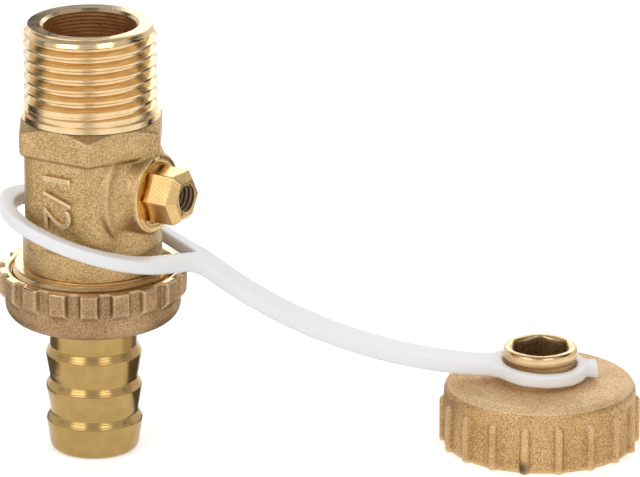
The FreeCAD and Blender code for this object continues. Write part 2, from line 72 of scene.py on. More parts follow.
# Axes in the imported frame.
CAP_CENTRE = (59.880793 * MM, 38.148272 * MM, 0.0)
STEM_CENTRE = (0.0, 0.0, -12.0 * MM)
UP = Vector((0, 0, 1))


class Axis(Enum):
    """Direction that a turned surface was spun about."""

    VALVE = "Z"
    STEM = "X"


class Keep(Enum):
    """Side of a level cut that stays."""

    ABOVE = "above"
    BELOW = "below"


def linear(hex_colour: str) -> tuple[float, float, float, float]:
    """Turn an sRGB hex colour into linear light.

    Args:
        hex_colour: Colour such as "#B08D57".

    Returns:
        Red, green, blue and alpha in linear light.
    """
    parts = [int(hex_colour[i:i + 2], 16) / 255 for i in (1, 3, 5)]
    light = [p / 12.92 if p <= 0.04045 else ((p + 0.055) / 1.055) ** 2.4 for p in parts]
    return light[0], light[1], light[2], 1.0


def valve_radius(point: Vector) -> float:
    """Give a point's distance from the valve's axis."""
    return math.hypot(point.x, point.y)


def stem_radius(point: Vector) -> float:
    """Give a point's distance from the stem's axis, in millimetres."""
    return math.hypot(point.y, point.z - STEM_CENTRE[2] / MM)


def select_only(piece: bpy.types.Object) -> None:
    """Make one object the only selected and the active one.

    Args:
        piece: Object to work on.
    """
    if bpy.context.mode != "OBJECT":
        bpy.ops.object.mode_set(mode="OBJECT")
    bpy.ops.object.select_all(action="DESELECT")
    piece.select_set(True)
    bpy.context.view_layer.objects.active = piece


def apply_modifier(piece: bpy.types.Object, kind: str, **settings: object) -> None:
    """Add a modifier, set it and apply it.

    Args:
        piece: Object to change.
        kind: Blender's name of the modifier type.
        settings: Values of the modifier's properties.
    """
    select_only(piece)
    modifier = piece.modifiers.new(kind.lower(), kind)
    for key, value in settings.items():
        setattr(modifier, key, value)
    bpy.ops.object.modifier_apply(modifier=modifier.name)


def merged_copy(node: str, name: str) -> bpy.types.Object:
    """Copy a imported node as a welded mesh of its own.

    Args:
        node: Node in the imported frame.
        name: Name of the new piece.

    Returns:
        The copy, unparented and at the origin.
    """
    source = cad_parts[node]
    piece = bpy.data.objects.new(name, source.data.copy())
    bpy.context.scene.collection.objects.link(piece)
    piece.data.transform(source.matrix_world)
    piece.data.name = name
    piece.data.materials.clear()
    select_only(piece)
    if piece.data.has_custom_normals:
        bpy.ops.mesh.customdata_custom_splitnormals_clear()
    weld(piece)
    return piece


def weld(piece: bpy.types.Object) -> None:
    """Merge doubled points and turn all faces outward.

    Args:
        piece: Object to clean.
    """
    select_only(piece)
    bpy.ops.object.mode_set(mode="EDIT")
    bpy.ops.mesh.select_all(action="SELECT")
    bpy.ops.mesh.remove_doubles(threshold=WELD_GAP)
    bpy.ops.mesh.normals_make_consistent(inside=False)
    bpy.ops.object.mode_set(mode="OBJECT")


def cut_level(piece: bpy.types.Object, height: float, keep: Keep) -> None:
    """Cut a piece at one height with a block that takes the rest away.

    Args:
        piece: Object to cut.
        height: Height of the cut in metres.
        keep: Side that stays.
    """
    away = BLOCK / 2 if keep is Keep.BELOW else -BLOCK / 2
    bpy.ops.object.select_all(action="DESELECT")
    bpy.ops.mesh.primitive_cube_add(size=BLOCK, location=(0, 0, height + away))
    block = bpy.context.active_object
    apply_modifier(piece, "BOOLEAN", operation="DIFFERENCE", object=block, solver="MANIFOLD")
    bpy.data.objects.remove(block)
    weld(piece)


def smooth_by_angle(piece: bpy.types.Object) -> None:
    """Shade a piece smooth except over its sharp edges.

    Args:
        piece: Object to shade.
    """
    select_only(piece)
    bpy.ops.object.shade_smooth_by_angle(angle=math.radians(SHARP_DEGREES))


def round_edges(piece: bpy.types.Object, width: float, test: Callable[[Vector, Vector], bool]) -> None:
    """Round the sharp edges that pass a test.

    Args:
        piece: Object to change.
        width: Width of the rounding in metres.
        test: Takes the places of an edge's two ends in millimetres.
    """
    select_only(piece)
    bpy.ops.object.mode_set(mode="EDIT")
    bpy.ops.mesh.select_mode(type="EDGE")
    bpy.ops.mesh.select_all(action="DESELECT")
    bpy.ops.mesh.edges_select_sharp(sharpness=math.radians(ROUND_DEGREES))
    bpy.ops.object.mode_set(mode="OBJECT")
    points = piece.data.vertices
    for edge in piece.data.edges:
        first, last = (points[i].co / MM for i in edge.vertices)
        edge.select = edge.select and test(first, last)
    bpy.ops.object.mode_set(mode="EDIT")
    bpy.ops.mesh.bevel(offset=width, segments=ROUND_SEGMENTS, affect="EDGES", clamp_overlap=True)
    bpy.ops.object.mode_set(mode="OBJECT")
    weld(piece)


def cast_skin(piece: bpy.types.Object, voxel: float, rounds: int) -> None:
    """Give a sharp piece the soft edges of a casting.

    Args:
        piece: Object to soften.
        voxel: Size of the new mesh in metres.
        rounds: Rounds of smoothing.
    """
    apply_modifier(piece, "REMESH", mode="VOXEL", voxel_size=voxel, use_smooth_shade=True)
    apply_modifier(piece, "SMOOTH", factor=SKIN_FACTOR, iterations=rounds)
    apply_modifier(piece, "DECIMATE", decimate_type="COLLAPSE", ratio=SKIN_SHARE)
    select_only(piece)
    bpy.ops.object.shade_smooth()


def dress(piece: bpy.types.Object, *materials: bpy.types.Material) -> None:
    """Give a piece its materials, the first one all over.

    Args:
        piece: Object to dress.
        materials: Materials in slot order.
    """
    piece.data.materials.clear()
    for material in materials:
        piece.data.materials.append(material)
    for face in piece.data.polygons:
        face.material_index = 0


def paint_faces(piece: bpy.types.Object, slot: int, test: Callable[[Vector, Vector], bool]) -> None:
    """Give a material slot to the faces that pass a test.

    Args:
        piece: Object to paint.
        slot: Index of the material slot.
        test: Takes a face's centre in millimetres and its normal.
    """
    for face in piece.data.polygons:
        if test(face.center / MM, face.normal):
            face.material_index = slot


def settle(piece: bpy.types.Object, body: str, replaced: tuple[str, ...] = ()) -> None:
    """Let a finished piece ride its body, hide the nodes that it replaces and log its face count.

    Args:
        piece: Finished piece.
        body: Body in the record.
        replaced: Nodes that the piece replaces.
    """
    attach(piece, body)
    if replaced:
        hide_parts(*replaced)
    LOG.info("%s: %d faces on %s", piece.name, len(piece.data.polygons), body)


def add_node(
        tree: bpy.types.NodeTree, kind: str, inputs: dict[str | int, object] | None = None,
        **settings: object) -> bpy.types.Node:
    """Add a shader node, set it and wire it.

    Args:
        tree: Node tree to add to.
        kind: Blender's name of the node type.
        inputs: Values or sockets by input name or index.
        settings: Values of the node's properties.

    Returns:
        The new node.
    """
    node = tree.nodes.new(kind)
    for key, value in settings.items():
        setattr(node, key, value)
    for key, value in (inputs or {}).items():
        if isinstance(value, bpy.types.NodeSocket):
            tree.links.new(value, node.inputs[key])
        else:
            node.inputs[key].default_value = value
    return node


def new_material(name: str) -> tuple[bpy.types.Material, bpy.types.NodeTree, bpy.types.Node]:
    """Start a material with its shader and output.

    Args:
        name: Name of the real material.

    Returns:
        The material, its node tree and its Principled shader.
    """
    material = bpy.data.materials.new(name)
    material.use_nodes = True
    tree = material.node_tree
    tree.nodes.clear()
    shader = add_node(tree, "ShaderNodeBsdfPrincipled")
    add_node(tree, "ShaderNodeOutputMaterial", {"Surface": shader.outputs["BSDF"]})
    return material, tree, shader


@dataclass(frozen=True)
class CastBrass:
    """Forged and blasted brass: grainy, matt and a little uneven in colour, with painted shade in its inner
    corners and a painted highlight on its outer edges.

    The grain is drawn about twice as coarse as a real blast leaves it, so that it shows in the picture.
    """

    name: str
    pale: str
    dark: str
    grain_mm: float = 0.21
    grain_share: float = 0.82
    tone_range: tuple[float, float] = (0.38, 0.62)
    blotch_mm: float = 4.5
    roughness: float = 0.46
    bump_mm: float = 0.08
    stain: tuple[float, float, float] | None = None
    stain_mm: float = 0.85
    stain_colour: str = "#35302C"
    stain_squash: tuple[float, float, float] = (1.0, 1.0, 0.5)
    stain_fade: float = 0.6
    metallic: float = 1.0
    # Colour, reach and range of the painted shade in inner corners.
    painted_corner_shade: str = "#5E4426"
    painted_corner_shade_mm: float = 1.2
    painted_corner_shade_range: tuple[float, float] = (0.55, 0.93)
    # Colour, reach, range and strength of the painted highlight on outer edges.
    edge: str = "#F6E2BE"
    highlight_edge_mm: float = 0.5
    highlight_edge_range: tuple[float, float] = (0.6, 0.97)
    highlight_edge_most: float = 0.75

    def material(self) -> bpy.types.Material:
        """Build the shader.

        Returns:
            The cast brass material.
        """
        material, tree, shader = new_material(self.name)
        place = add_node(tree, "ShaderNodeTexCoord").outputs["Object"]
        grain = add_node(tree, "ShaderNodeTexNoise", {
            "Vector": place, "Scale": 1 / (self.grain_mm * MM), "Detail": 3.0, "Roughness": 0.65})
        blotch = add_node(tree, "ShaderNodeTexNoise", {
            "Vector": place, "Scale": 1 / (self.blotch_mm * MM), "Detail": 4.0})
        # The blast leaves fine light and dark grains over broader, softer clouds.
        fine = add_node(tree, "ShaderNodeMath", {
            0: grain.outputs["Fac"], 1: self.grain_share}, operation="MULTIPLY")
        cloud = add_node(tree, "ShaderNodeMath", {
            0: blotch.outputs["Fac"], 1: 1 - self.grain_share, 2: fine.outputs[0]}, operation="MULTIPLY_ADD")
        tone = add_node(tree, "ShaderNodeMapRange", {
            "Value": cloud.outputs[0], "From Min": self.tone_range[0], "From Max": self.tone_range[1]})
        colour = add_node(tree, "ShaderNodeMix", {
            0: tone.outputs[0], 6: linear(self.dark), 7: linear(self.pale)}, data_type="RGBA").outputs[2]
        # Painted shade: inner corners that ambient occlusion finds are darkened toward the corner shade
        # colour.
        shelter = add_node(tree, "ShaderNodeAmbientOcclusion", {
            "Distance": self.painted_corner_shade_mm * MM}, samples=SHELTER_RAYS, only_local=True)
        clean = add_node(tree, "ShaderNodeMapRange", {
            "Value": shelter.outputs["AO"], "From Min": self.painted_corner_shade_range[0],
            "From Max": self.painted_corner_shade_range[1]})
        colour = add_node(tree, "ShaderNodeMix", {
            0: clean.outputs[0], 6: linear(self.painted_corner_shade), 7: colour}, data_type="RGBA").outputs[2]
        # Painted highlight: outer edges that inside ambient occlusion finds are lightened toward the edge
        # colour.
        depth = add_node(tree, "ShaderNodeAmbientOcclusion", {
            "Distance": self.highlight_edge_mm * MM}, samples=SHELTER_RAYS, only_local=True, inside=True)
        edge_highlight_share = add_node(tree, "ShaderNodeMapRange", {
            "Value": depth.outputs["AO"], "From Min": self.highlight_edge_range[0], "From Max": self.highlight_edge_range[1],
            "To Min": self.highlight_edge_most, "To Max": 0.0})
        colour = add_node(tree, "ShaderNodeMix", {
            0: edge_highlight_share.outputs[0], 6: colour, 7: linear(self.edge)}, data_type="RGBA").outputs[2]
        if self.stain is not None:
            colour = self._stained(tree, place, grain, colour)
        dull = add_node(tree, "ShaderNodeMapRange", {
            "Value": grain.outputs["Fac"], "From Min": NOISE_LOW, "From Max": NOISE_HIGH,
            "To Min": self.roughness + 0.1, "To Max": self.roughness - 0.12})
        relief = add_node(tree, "ShaderNodeBump", {
            "Height": cloud.outputs[0], "Strength": 0.8, "Distance": self.bump_mm * MM})
        tree.links.new(colour, shader.inputs["Base Color"])
        tree.links.new(dull.outputs[0], shader.inputs["Roughness"])
        tree.links.new(relief.outputs[0], shader.inputs["Normal"])
        shader.inputs["Metallic"].default_value = self.metallic
        return material

    def _stained(
            self, tree: bpy.types.NodeTree, place: bpy.types.NodeSocket, grain: bpy.types.Node,
            colour: bpy.types.NodeSocket) -> bpy.types.NodeSocket:
        """Darken the colour round one ragged spot.

        Args:
            tree: Node tree of the material.
            place: Object coordinates.
            grain: Grain noise, which frays the spot's edge.
            colour: Colour without the spot.

        Returns:
            Colour with the spot.
        """
        off = add_node(tree, "ShaderNodeVectorMath", {0: place, 1: self.stain}, operation="SUBTRACT")
        # The dirt has run down, so its spot is taller than wide.
        tall = add_node(tree, "ShaderNodeVectorMath", {
            0: off.outputs[0], 1: self.stain_squash}, operation="MULTIPLY")
        away = add_node(tree, "ShaderNodeVectorMath", {0: tall.outputs[0]}, operation="LENGTH")
        frayed = add_node(tree, "ShaderNodeMath", {
            0: grain.outputs["Fac"], 1: -self.stain_mm * MM,
            2: away.outputs["Value"]}, operation="MULTIPLY_ADD")
        spot = add_node(tree, "ShaderNodeMapRange", {
            "Value": frayed.outputs[0], "From Min": 0.0, "From Max": self.stain_mm * MM * self.stain_fade,
            "To Min": 1.0, "To Max": 0.0})
        return add_node(tree, "ShaderNodeMix", {
            0: spot.outputs[0], 6: colour, 7: linear(self.stain_colour)}, data_type="RGBA").outputs[2]


@dataclass(frozen=True)
class TurnedBrass:
    """Brass from the lathe: bright, with fine tool marks round its axis.

    The marks are drawn about twice as far apart as real ones, so that they show in the picture.
    """

    name: str
    colour: str
    shade: str
    axis: Axis = Axis.VALVE
    centre: tuple[float, float, float] = (0.0, 0.0, 0.0)
    mark_mm: float = 0.22
    smear_mm: float = 2.2
    roughness: float = 0.17
    bump_mm: float = 0.012

    def material(self) -> bpy.types.Material:
        """Build the shader.

        Returns:
            The turned brass material.
        """
        material, tree, shader = new_material(self.name)
        place = add_node(tree, "ShaderNodeTexCoord").outputs["Object"]
        moved = add_node(tree, "ShaderNodeMapping", {
            "Vector": place, "Location": tuple(-c for c in self.centre)})
        # A band along the axis marks the walls and rings mark the end faces.
        waves = {
            "Vector": moved.outputs[0], "Scale": WAVE_LENGTH / (self.mark_mm * MM), "Distortion": 1.5,
            "Detail": 2.0, "Detail Scale": 0.02}
        spin = self.axis.value
        bands = add_node(tree, "ShaderNodeTexWave", waves, wave_type="BANDS", bands_direction=spin)
        rings = add_node(tree, "ShaderNodeTexWave", waves, wave_type="RINGS", rings_direction=spin)
        marks = add_node(tree, "ShaderNodeMath", {
            0: bands.outputs["Fac"], 1: rings.outputs["Fac"]}, operation="ADD")
        smear = add_node(tree, "ShaderNodeTexNoise", {
            "Vector": place, "Scale": 1 / (self.smear_mm * MM), "Detail": 4.0})
        # Handling leaves a faint film, so colour and gloss drift a little over the metal.
        colour = add_node(tree, "ShaderNodeMix", {
            0: smear.outputs["Fac"], 6: linear(self.shade), 7: linear(self.colour)}, data_type="RGBA")
        dull = add_node(tree, "ShaderNodeMapRange", {
            "Value": smear.outputs["Fac"], "From Min": NOISE_LOW, "From Max": NOISE_HIGH,
            "To Min": self.roughness + 0.06, "To Max": self.roughness - 0.04})
        relief = add_node(tree, "ShaderNodeBump", {
            "Height": marks.outputs[0], "Strength": 0.4, "Distance": self.bump_mm * MM})
        tree.links.new(colour.outputs[2], shader.inputs["Base Color"])
        tree.links.new(dull.outputs[0], shader.inputs["Roughness"])
        tree.links.new(relief.outputs[0], shader.inputs["Normal"])
        shader.inputs["Metallic"].default_value = 1.0
        return material


@dataclass(frozen=True)
class Moulding:
    """Plain moulded or pressed non-metal, with an optional milky depth."""

    name: str
    colour: str
    roughness: float
    depth_mm: float = 0.0
    milk: float = 0.6
    ripple_mm: float = 1.6
    ripple_depth_mm: float = 0.06

    def material(self) -> bpy.types.Material:
        """Build the shader.

        Returns:
            The moulded material.
        """
        material, tree, shader = new_material(self.name)
        place = add_node(tree, "ShaderNodeTexCoord").outputs["Object"]
        ripple = add_node(tree, "ShaderNodeTexNoise", {
            "Vector": place, "Scale": 1 / (self.ripple_mm * MM), "Detail": 2.0})
        relief = add_node(tree, "ShaderNodeBump", {
            "Height": ripple.outputs["Fac"], "Strength": 0.25, "Distance": self.ripple_depth_mm * MM})
        tree.links.new(relief.outputs[0], shader.inputs["Normal"])
        shader.inputs["Base Color"].default_value = linear(self.colour)
        shader.inputs["Roughness"].default_value = self.roughness
        if self.depth_mm:
            shader.inputs["Subsurface Weight"].default_value = self.milk
            shader.inputs["Subsurface Radius"].default_value = (1.0, 1.0, 1.0)
            shader.inputs["Subsurface Scale"].default_value = self.depth_mm * MM
        return material


@dataclass
class Finishes:
    """All materials of the drain cock, built once."""

    # A blasted forging is sandy and matt, with painted shade in its inner corners and a painted highlight on
    # its outer edges.
    forged: bpy.types.Material = field(default_factory=CastBrass(
        "Forged brass", "#DFBF8E", "#9C7945").material)
    # The nut's forging is redder and duller than the body's.
    nut: bpy.types.Material = field(default_factory=CastBrass(
        "Forged nut brass", "#C6A57E", "#856442").material)
    # The cap's skirt has a thin oxide that hides part of the metal's mirror, and a dirt spot at its foot.
    # The cap's painted corner shade is darker and its painted edge highlight reaches further than the
    # body's.
    cap: bpy.types.Material = field(default_factory=CastBrass(
        "Forged cap brass", "#E4BF88", "#986D3C", grain_mm=0.22, roughness=0.48,
        stain=(65.04 * MM, 23.57 * MM, -55.5 * MM), metallic=0.85, painted_corner_shade="#3E2912", edge="#F0CF9C",
        highlight_edge_mm=0.9).material)
    # The cap's top is a paler copy of the cap's brass: painted light on the faces that look up. It is
    # rougher and less metallic, so it mirrors little.
    cap_top_with_painted_light: bpy.types.Material = field(default_factory=CastBrass(
        "Cap brass with painted top light", "#FDDFAE", "#C49663", grain_mm=0.22, roughness=0.6, metallic=0.45, edge="#FFE4B8",
        highlight_edge_mm=0.9).material)
    # Broached and tapped walls are rough. Their dark brown is painted shade inside the holes.
    hole_with_painted_shade: bpy.types.Material = field(default_factory=CastBrass(
        "Broached brass with painted hole shade", "#A98A60", "#5A4229", roughness=0.6).material)
    # A lathe-cut face mirrors the studio in bright and dark bands.
    turned: bpy.types.Material = field(default_factory=TurnedBrass(
        "Turned brass", "#ECD4AA", "#D9B888").material)
    # The inlet's bore has coarse drill marks, which break its mirror into streaks. Its colours are paler
    # than the turned brass: painted light inside the bore.
    bore_with_painted_light: bpy.types.Material = field(default_factory=TurnedBrass(
        "Bored brass with painted light", "#FADDB2", "#ECC089", mark_mm=0.6, roughness=0.28, bump_mm=0.04).material)
    # The stem's milled flats are the brightest and yellowest metal.
    stem: bpy.types.Material = field(default_factory=TurnedBrass(
        "Turned stem brass", "#E6C88E", "#D0A666", Axis.STEM, STEM_CENTRE).material)
    # The tail is from a greener, darker bar with a satin gloss.
    tail: bpy.types.Material = field(default_factory=TurnedBrass(
        "Satin turned brass", "#BE9F66", "#A1824C", roughness=0.19).material)
    # The boss is turned, but duller than the inlet.
    cap_turned: bpy.types.Material = field(default_factory=TurnedBrass(
        "Turned cap brass", "#E8CCA0", "#D6B282", Axis.VALVE, CAP_CENTRE, roughness=0.24).material)
    # Polyethylene is milky: light goes a little way in, so its shadows are soft.
    plastic: bpy.types.Material = field(default_factory=Moulding(
        "Moulded polyethylene", "#EEEEF0", 0.38, 1.6).material)
    # The seats are waxy white and the seals are dull black.
    ptfe: bpy.types.Material = field(default_factory=Moulding("PTFE", "#F2F1EC", 0.45).material)
    rubber: bpy.types.Material = field(default_factory=Moulding("EPDM rubber", "#1C1B1A", 0.6).material)


@dataclass(frozen=True)
class ThreadCut:
    """One right-hand helical groove, swept as a cutter about the valve axis."""

    pitch: float
    floor: float
    mouth: float
    floor_flat: float
    mouth_width: float
    start: float
    turns: int
    steps: int = 84
    beyond: float = 0.35 * MM
    fade_turns: float = 0.6
    fade_rise: float = 1.05

    def cutter(self) -> bpy.types.Object:
        """Sweep the groove's section into a closed helical solid.

        Returns:
            The cutter, on the valve axis.
        """
        bpy.ops.object.select_all(action="DESELECT")
        bpy.ops.mesh.primitive_plane_add(
            size=1, location=((self.floor + self.mouth) / 2, 0, self.start), rotation=(math.pi / 2, 0, 0))
        tool = bpy.context.active_object
        tool.scale = (abs(self.mouth - self.floor), self.mouth_width, 1)
        bpy.ops.object.transform_apply(location=True, rotation=True, scale=True)
        self._pick(tool, self.floor)
        bpy.ops.transform.resize(value=(1, 1, self.floor_flat / self.mouth_width))
        self._pick(tool, self.mouth)
        outward = math.copysign(self.beyond, self.mouth - self.floor)
        bpy.ops.mesh.extrude_region_move(TRANSFORM_OT_translate={"value": (outward, 0, 0)})
        bpy.ops.mesh.select_all(action="SELECT")
        bpy.ops.mesh.dissolve_faces()
        bpy.ops.mesh.select_all(action="SELECT")
        bpy.ops.mesh.delete(type="ONLY_FACE")
        bpy.ops.object.mode_set(mode="OBJECT")
        corners = len(tool.data.vertices)
        apply_modifier(
            tool, "SCREW", axis="Z", angle=2 * math.pi, screw_offset=self.pitch, iterations=self.turns,
            steps=self.steps, render_steps=self.steps, use_merge_vertices=False)
        self._fade(tool, corners)
        bpy.ops.object.mode_set(mode="EDIT")
        bpy.ops.mesh.select_all(action="SELECT")
        bpy.ops.mesh.fill_holes(sides=0)
        bpy.ops.object.mode_set(mode="OBJECT")
        weld(tool)
        return tool

    def _pick(self, tool: bpy.types.Object, radius: float) -> None:
        """Select the section's points at one radius, in edit mode.

        Args:
            tool: Cutter that is being made.
            radius: Radius of the points in metres.
        """
        select_only(tool)
        bpy.ops.object.mode_set(mode="EDIT")
        bpy.ops.mesh.select_all(action="DESELECT")
        bpy.ops.object.mode_set(mode="OBJECT")
        for point in tool.data.vertices:
            point.select = abs(point.co.x - radius) < SAME_PLACE
        bpy.ops.object.mode_set(mode="EDIT")

    def _fade(self, tool: bpy.types.Object, corners: int) -> None:
        """Let the groove run out of the metal over its first part turn.

        Args:
            tool: Swept cutter.
            corners: Points in one section.
        """
        count = max(1, round(self.fade_turns * self.steps))
        for point in tool.data.vertices:
            step = point.index // corners
            if step < count:
                flat = Vector((point.co.x, point.co.y, 0.0))
                rise = (self.mouth - self.floor) * self.fade_rise * (1 - step / count)
                point.co += flat.normalized() * rise

    def cut(self, piece: bpy.types.Object, turn: Matrix | None = None) -> None:
        """Cut the groove into a piece.

        Args:
            piece: Piece to thread.
            turn: Optional place of the thread's axis.
        """
        tool = self.cutter()
        if turn is not None:
            tool.data.transform(turn)
        apply_modifier(piece, "BOOLEAN", operation="DIFFERENCE", object=tool, solver="MANIFOLD")
        bpy.data.objects.remove(tool)
        weld(piece)


@dataclass
class ValveBody:
    """Forged body with its turned inlet and outlet, machined boss and raised size number."""

    finishes: Finishes
    split: float = -0.9 * MM
    forging_foot: float = -25.54 * MM
    outlet_split: float = -25.45 * MM
    voxel: float = 0.27 * MM
    skin_rounds: int = 5
    inlet_bore_mm: float = 7.6
    bore_slope: float = 0.3
    chamber_mm: float = 9.0
    boss_face_mm: float = 11.9
    boss_slope: float = 0.6
    boss_radius_mm: float = 6.55
    boss_top_mm: float = -6.1
    boss_hole_from_mm: float = 9.0
    boss_hole_mm: float = 5.3
    mark_text: str = "1/2"
    mark_size: float = 7 * MM
    mark_depth: float = 0.45 * MM
    mark_voxel: float = 0.09 * MM
    mark_rounds: int = 3
    mark_length: float = 8.7 * MM
    mark_height: float = 5.0 * MM
    mark_place: tuple[float, float, float] = (0.5 * MM, -10.55 * MM, -12.65 * MM)
    thread: ThreadCut = ThreadCut(
        pitch=1.814 * MM, floor=9.3155 * MM, mouth=10.4775 * MM, floor_flat=0.3 * MM, mouth_width=1.51 * MM,
        start=0.85 * MM, turns=9)
    thread_turn: float = 205.0
    outlet_thread: ThreadCut = ThreadCut(
        pitch=1.814 * MM, floor=12.06 * MM, mouth=12.64 * MM, floor_flat=0.35 * MM, mouth_width=1.2 * MM,
        start=-30.6 * MM, turns=3, fade_turns=0.0)

    def build(self) -> None:
        """Make the inlet, the forging, the outlet and the number."""
        self._build_inlet()
        self._build_forging()
        self._build_outlet()
        self._build_mark()

    def _build_inlet(self) -> None:
        """Cut the pipe thread into the inlet and leave its bore duller."""
        piece = merged_copy("valve_body", "threaded_inlet")
        cut_level(piece, self.split, Keep.ABOVE)
        self.thread.cut(piece, Matrix.Rotation(math.radians(self.thread_turn), 4, "Z"))
        dress(piece, self.finishes.turned, self.finishes.bore_with_painted_light)
        # The bore's walls get the paler copy: painted light inside the bore.
        paint_faces(piece, 1, lambda c, n: (
            valve_radius(c) < self.inlet_bore_mm and abs(n.z) < self.bore_slope))
        smooth_by_angle(piece)
        settle(piece, "valve_body", ("valve_body",))

    def _build_forging(self) -> None:
        """Soften the forging below the collar and mark its machined zones."""
        piece = merged_copy("valve_body", "forged_body")
        cut_level(piece, self.split, Keep.BELOW)
        cut_level(piece, self.forging_foot, Keep.ABOVE)
        cast_skin(piece, self.voxel, self.skin_rounds)
        dress(piece, self.finishes.forged, self.finishes.turned, self.finishes.stem)
        paint_faces(piece, 1, lambda c, n: valve_radius(c) < self.chamber_mm)
        paint_faces(piece, 2, lambda c, n: (
            c.x > self.boss_face_mm and n.x > self.boss_slope
            and stem_radius(c) < self.boss_radius_mm and c.z < self.boss_top_mm))
        paint_faces(piece, 2, lambda c, n: (
            c.x > self.boss_hole_from_mm and stem_radius(c) < self.boss_hole_mm))
        settle(piece, "valve_body", ("valve_body",))

    def _build_outlet(self) -> None:
        """Cut the union's thread into the outlet spigot."""
        piece = merged_copy("valve_body", "threaded_outlet")
        cut_level(piece, self.outlet_split, Keep.BELOW)
        self.outlet_thread.cut(piece)
        dress(piece, self.finishes.turned)
        smooth_by_angle(piece)
        settle(piece, "valve_body", ("valve_body",))

    def _build_mark(self) -> None:
        """Raise the thread's size number on the flat that faces the viewer."""
        bpy.ops.object.select_all(action="DESELECT")
        bpy.ops.object.text_add(location=(0, 0, 0))
        mark = bpy.context.active_object
        mark.data.body = self.mark_text
        mark.data.size = self.mark_size
        mark.data.extrude = self.mark_depth
        mark.data.align_x = "CENTER"
        mark.data.align_y = "CENTER"
        bpy.ops.object.convert(target="MESH")
        piece = bpy.context.active_object
        piece.name = "size_mark"
        piece.data.name = "size_mark"
        low = [min(v.co[i] for v in piece.data.vertices) for i in range(2)]
        high = [max(v.co[i] for v in piece.data.vertices) for i in range(2)]
        centre = Matrix.Translation((-(low[0] + high[0]) / 2, -(low[1] + high[1]) / 2, 0))
        fit = Matrix.Diagonal((
            self.mark_length / (high[0] - low[0]), self.mark_height / (high[1] - low[1]), 1, 1))
        # The number reads downward: its line runs to -Z, its tops point to +X and it stands off to -Y.
        turn = Matrix(((0, 1, 0, 0), (0, 0, -1, 0), (-1, 0, 0, 0), (0, 0, 0, 1)))
        piece.data.transform(Matrix.Translation(self.mark_place) @ turn @ fit @ centre)
        weld(piece)
        cast_skin(piece, self.mark_voxel, self.mark_rounds)
        dress(piece, self.finishes.forged)
        settle(piece, "valve_body")


@dataclass
class OperatingStem:
    """Turned stem with its milled hexagon and tapped end."""

    finishes: Finishes
    edge_round: float = 0.28 * MM
    rounded_from_mm: float = 12.5
    rounded_outside_mm: float = 3.0
    hole_foot_mm: float = 9.0
    hole_mouth_mm: float = 17.2
    hole_radius_mm: float = 2.75
    tapping: ThreadCut = ThreadCut(
        pitch=0.8 * MM, floor=2.5 * MM, mouth=2.1 * MM, floor_flat=0.12 * MM, mouth_width=0.62 * MM,
        start=11.5 * MM, turns=9, steps=48, beyond=0.15 * MM)

    def build(self) -> None:
        """Break the hexagon's edges and tap the hole."""
        piece = merged_copy("operating_stem", "tapped_stem")
        round_edges(piece, self.edge_round, lambda a, b: (
            max(a.x, b.x) > self.rounded_from_mm
            and min(stem_radius(a), stem_radius(b)) > self.rounded_outside_mm))
        # The cutter's axis, +Z, is laid along the stem's, +X.
        along_x = Matrix(((0, 0, 1, 0), (0, 1, 0, 0), (-1, 0, 0, STEM_CENTRE[2]), (0, 0, 0, 1)))
        self.tapping.cut(piece, along_x)
        dress(piece, self.finishes.stem, self.finishes.hole_with_painted_shade)
        # The tapped hole's walls get the dark copy: painted shade inside the hole.
        paint_faces(piece, 1, lambda c, n: (
            self.hole_foot_mm < c.x < self.hole_mouth_mm and stem_radius(c) < self.hole_radius_mm))
        smooth_by_angle(piece)
        apply_modifier(piece, "WEIGHTED_NORMAL", keep_sharp=True)
        settle(piece, "operating_stem", ("operating_stem",))


@dataclass
class HoseUnion:
    """Ribbed nut and the barbed tail that it holds."""

    finishes: Finishes
    voxel: float = 0.14 * MM
    skin_rounds: int = 2
    barb_round: float = 0.35 * MM
    barbs_below_mm: float = -36.0
    barbs_outside_mm: float = 6.0
    nut_top_mm: float = -26.3
    top_slope: float = 0.5
    nut_bore_mm: float = 12.95
    nut_seat_mm: float = -31.6

    def build(self) -> None:
        """Make the tail crisp and the nut soft with a turned top."""
        tail = merged_copy("hose_tail", "barbed_tail")
        round_edges(tail, self.barb_round, lambda a, b: (
            max(a.z, b.z) < self.barbs_below_mm
            and min(valve_radius(a), valve_radius(b)) > self.barbs_outside_mm))
        dress(tail, self.finishes.tail)
        smooth_by_angle(tail)
        apply_modifier(tail, "WEIGHTED_NORMAL", keep_sharp=True)
        settle(tail, "hose_tail", ("hose_tail",))
        nut = merged_copy("union_nut", "ribbed_nut")
        cast_skin(nut, self.voxel, self.skin_rounds)
        dress(nut, self.finishes.nut, self.finishes.turned)
        paint_faces(nut, 1, lambda c, n: c.z > self.nut_top_mm and n.z > self.top_slope)
        paint_faces(nut, 1, lambda c, n: valve_radius(c) < self.nut_bore_mm and c.z > self.nut_seat_mm)
        settle(nut, "union_nut", ("union_nut",))


